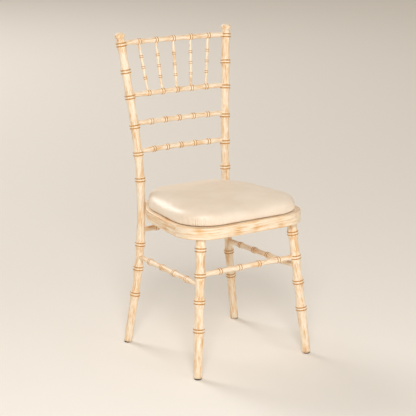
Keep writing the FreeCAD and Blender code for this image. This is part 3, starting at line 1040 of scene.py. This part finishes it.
# Share of the height, and how far the side is drawn in there.
pad_side = [(0.0, mm(4)), (0.06, mm(1)), (0.14, mm(0.1)), (0.24, 0.0), (0.38, mm(0.3)), (0.5, mm(1.4))]
pad_side += [(0.6, mm(3)), (0.7, mm(5.6)), (0.78, mm(8.8)), (0.86, mm(13.4))]
pad_side += [(0.93, mm(21)), (1.0, mm(37))]
crown_scales = (0.9, 0.78, 0.64, 0.48, 0.3, 0.12)
crown_rise = mm(3)
start_shrink = mm(3)
pad_corners = [(x, y, turn + extra) for (x, y, turn), extra in zip(seat_corners, pad_rounding)]
pad_plan = Plan(pad_corners, pad_step)


def link_mesh(name, points, faces):
    """A plain mesh object in the scene."""
    mesh = bpy.data.meshes.new(name)
    mesh.from_pydata([tuple(point) for point in points], [], faces)
    item = bpy.data.objects.new(name, mesh)
    bpy.context.collection.objects.link(item)
    make_normals_outward(item)
    return item


def pad_blank(shrink):
    """The pad's closed form, drawn in all round except at its underside."""
    around = [pad_plan.at(pad_plan.lengths[-1] * index / pad_columns) for index in range(pad_columns)]
    rise = pad_high - pad_low - shrink
    points, faces = [], []
    for share, tuck in pad_side:
        held = shrink * min(share / held_share, 1)
        for place, inward in around:
            points.append(place + inward * (pad_inset + tuck + held) + UP * (pad_low + share * rise))
    rim = points[-len(around):]
    centre = sum(rim, Vector()) / len(rim)
    for scale in crown_scales:
        lift = UP * (crown_rise * (1 - scale**2))
        points += [centre + (point - centre) * scale + lift for point in rim]
    size = len(around)
    rows = len(points) // size
    for row in range(rows - 1):
        for index in range(size):
            after = (index + 1) % size
            low, high = row * size, (row + 1) * size
            faces.append((low + index, low + after, high + after, high + index))
    faces.append(tuple(range(size - 1, -1, -1)))
    faces.append(tuple(range((rows - 1) * size, rows * size)))
    return points, faces


pad = link_mesh("pad_cover_vinyl", *pad_blank(start_shrink))
print("the pad's form has", len(pad.data.vertices), "points")

# %% [markdown]
# An upholsterer presses the foam down under the cover, so it pushes back and fills the cover. The
# same thing happens here. The form is meshed evenly, and a cloth simulation blows it up with air
# pressure while its underside is held. Each point then keeps the outward part of its travel, up to
# a few millimetres, so the cover stays taut instead of ballooning.

# %% Blow up the pad
voxel_size = mm(4)
air_pressure = 0.6
longest_travel = mm(6)
held_height = mm(1.5)
blowing_frames = 20
smoothing = 0.5
smoothing_rounds = 4


def applied(item):
    """Turns the modifiers' result into the object's own mesh."""
    evaluated = item.evaluated_get(bpy.context.evaluated_depsgraph_get())
    mesh = bpy.data.meshes.new_from_object(evaluated)
    item.modifiers.clear()
    item.data = mesh


def blow_up(item):
    """Cloth simulation under air pressure, with the underside held and the travel capped."""
    remesh = item.modifiers.new("even_mesh", "REMESH")
    remesh.mode = "VOXEL"
    remesh.voxel_size = voxel_size
    applied(item)
    before = [vertex.co.copy() for vertex in item.data.vertices]
    outward = [vertex.normal.copy() for vertex in item.data.vertices]
    held = item.vertex_groups.new(name="underside")
    low_points = [index for index, place in enumerate(before) if place.z < pad_low + held_height]
    held.add(low_points, 1.0, "REPLACE")
    cloth = item.modifiers.new("vinyl_under_pressure", "CLOTH")
    cloth.settings.use_pressure = True
    cloth.settings.uniform_pressure_force = air_pressure
    cloth.settings.effector_weights.gravity = 0
    cloth.settings.vertex_group_mass = "underside"
    for frame_number in range(1, blowing_frames + 1):
        bpy.context.scene.frame_set(frame_number)
    applied(item)
    bpy.context.scene.frame_set(1)
    moved = 0.0
    for vertex, place, normal in zip(item.data.vertices, before, outward):
        travel = (vertex.co - place).dot(normal)
        moved = max(moved, travel)
        vertex.co = place + normal * (longest_travel * math.tanh(travel / longest_travel))
    print("the cover wanted to move", round(moved * 1000, 1), "mm")


blow_up(pad)
smooth = pad.modifiers.new("smooth", "SMOOTH")
smooth.factor = smoothing
smooth.iterations = smoothing_rounds
applied(pad)
heights = [vertex.co.z * 1000 for vertex in pad.data.vertices]
print("pad from", round(min(heights), 1), "to", round(max(heights), 1), "mm,", len(heights), "points")

# %% [markdown]
# The cover is one flat sheet, so at each round corner its spare width is gathered into small pleats
# that run up from the underside. A hand gathers them, so no two are alike. A seeded random number
# gives each its own place, depth, width and length, and the same ones each time. They're deepest at
# the middle of the corner and fade out to both sides.

# %% Where the pleats go
pleat_random = random.Random(11)
corner_reach = mm(105)
front_corner_depth = mm(-170)
rear_corner_depth = mm(150)
side_fade = 0.6

# Least and greatest sizes of a pleat in millimetres.
pleat_depths = (1.9, 3.2)
pleat_half_widths = (1.2, 1.7)
pleat_tops = (14, 29)
pleat_spacings = (4.2, 7.5)


def pleats_at(length, reach):
    """Creases either side of a corner: place round the edge, depth, half width and top, in metres."""
    creases = []
    place = length - reach
    while place < length + reach:
        fade = 1 - abs(place - length) / reach
        depth = mm(pleat_random.uniform(*pleat_depths)) * fade**side_fade
        half_width = mm(pleat_random.uniform(*pleat_half_widths))
        top = mm(pleat_random.uniform(*pleat_tops))
        creases.append((place, depth, half_width, top))
        place += mm(pleat_random.uniform(*pleat_spacings))
    return creases


total_length = pad_plan.lengths[-1]
front_corner = pad_plan.length_at_depth(front_corner_depth)
rear_corner = pad_plan.length_at_depth(rear_corner_depth)
creases = []
for length in (front_corner, rear_corner, total_length - rear_corner, total_length - front_corner):
    creases += pleats_at(length, corner_reach)
print(len(creases), "pleats at four corners")

# %% [markdown]
# The creases are pressed into the mesh. The corners are first meshed finer, so that they can hold
# them. Each point then looks up its place round the edge and moves in by the depth of the creases
# near it. A tree of places round the edge makes that lookup quick. Last, one round of subdivision
# rounds the skin.

# %% Press the pleats
pleat_zone_low = pad_low + mm(1)
pleat_zone_high = pad_low + mm(30)
refined_reach = mm(6)
refining_rounds = 2
top_fade = 0.7
edge_count = 1300
edge_tree = KDTree(edge_count)
for index in range(edge_count):
    edge_tree.insert(pad_plan.at(total_length * index / edge_count)[0], index)
edge_tree.balance()


def edge_place(point):
    """Length round the edge and inward direction at the plan's nearest place."""
    index = edge_tree.find(Vector((point.x, point.y, 0)))[1]
    length = total_length * index / edge_count
    place, inward = pad_plan.at(length)
    along = UP.cross(inward)
    return length - (Vector((point.x, point.y, 0)) - place).dot(along), inward


def near_a_pleat(point):
    """Whether a point lies where the mesh has to be finer."""
    if not pleat_zone_low < point.z < pleat_zone_high:
        return False
    length = edge_place(point)[0]
    return any(abs(length - place) < refined_reach for place, depth, width, top in creases)


def pleat_depth(point):
    """How far the creases press the skin in at a point."""
    if not pleat_zone_low < point.z < pleat_zone_high:
        return 0.0
    length = edge_place(point)[0]
    rise = point.z - pad_low
    depth = 0.0
    for place, deepest, width, top in creases:
        across = abs(length - place) / width
        if across < 3 and rise < top:
            depth += deepest * math.exp(-(across**2)) * (1 - rise / top) ** top_fade
    return depth


def press_pleats(item):
    """Meshes the corners finer and moves their points in along the creases."""
    data = bmesh.new()
    data.from_mesh(item.data)
    for _ in range(refining_rounds):
        chosen = [edge for edge in data.edges if all(near_a_pleat(vertex.co) for vertex in edge.verts)]
        bmesh.ops.subdivide_edges(data, edges=chosen, cuts=1, use_grid_fill=True)
    for vertex in data.verts:
        depth = pleat_depth(vertex.co)
        if depth:
            vertex.co += edge_place(vertex.co)[1] * depth
    data.to_mesh(item.data)
    data.free()


press_pleats(pad)
smooth_skin = pad.modifiers.new("smooth_skin", "SUBSURF")
smooth_skin.levels = 1
smooth_skin.render_levels = 1
applied(pad)
pad.data.materials.clear()
pad.data.materials.append(vinyl)
pad.data.shade_smooth()
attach(pad, PAD_BODY)
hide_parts("pad_cover", "pad_foam")
print(len(pad.data.polygons), "faces in the finished pad")

# %% [markdown]
# The glides are small moulded discs that keep the feet off a wet floor. Each is a low stick of its
# own to the same builder: a rim eased at the floor, an upright side, and a top a touch narrower. Its
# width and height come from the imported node.

# %% Glides
rim_height = mm(0.6)
side_height = mm(2.4)
rim_share = 0.9
top_share = 0.97
glide_sides = 32


def glide(node):
    """The moulded disc under one foot."""
    low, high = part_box(node)
    centre = (low + high) / 2
    foot = Vector((centre.x, centre.y, 0))
    radius = (high.x - low.x) / 2
    rows = [(0.0, radius * rim_share, 0.0), (rim_height, radius, 0.0)]
    rows += [(side_height, radius, 0.0), (high.z, radius * top_share, 0.0)]
    line = line_axis(foot, foot + UP)
    item = turned_object("moulded_" + node, line, rows, BACKWARD, glide_sides, plastic)
    dress(item, node)


for node in ("front_glide_left", "front_glide_right", "rear_glide_left", "rear_glide_right"):
    glide(node)

# %% [markdown]
# The boards, the tapes and the bolts are mostly hidden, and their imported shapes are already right:
# flat boards with cut edges, flat patches and plain bolts. They keep those shapes, and only take
# the finishes made above.

# %% Boards, tapes and bolts
finishes = {
    "seat_panel": plywood,
    "pad_board": plywood,
    "hook_tapes": tape,
    "loop_tapes": tape,
    "post_bolts": steel,
}
for node, material in finishes.items():
    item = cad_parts[node]
    item.data.materials.clear()
    item.data.materials.append(material)
    print(node, "is", material.name)
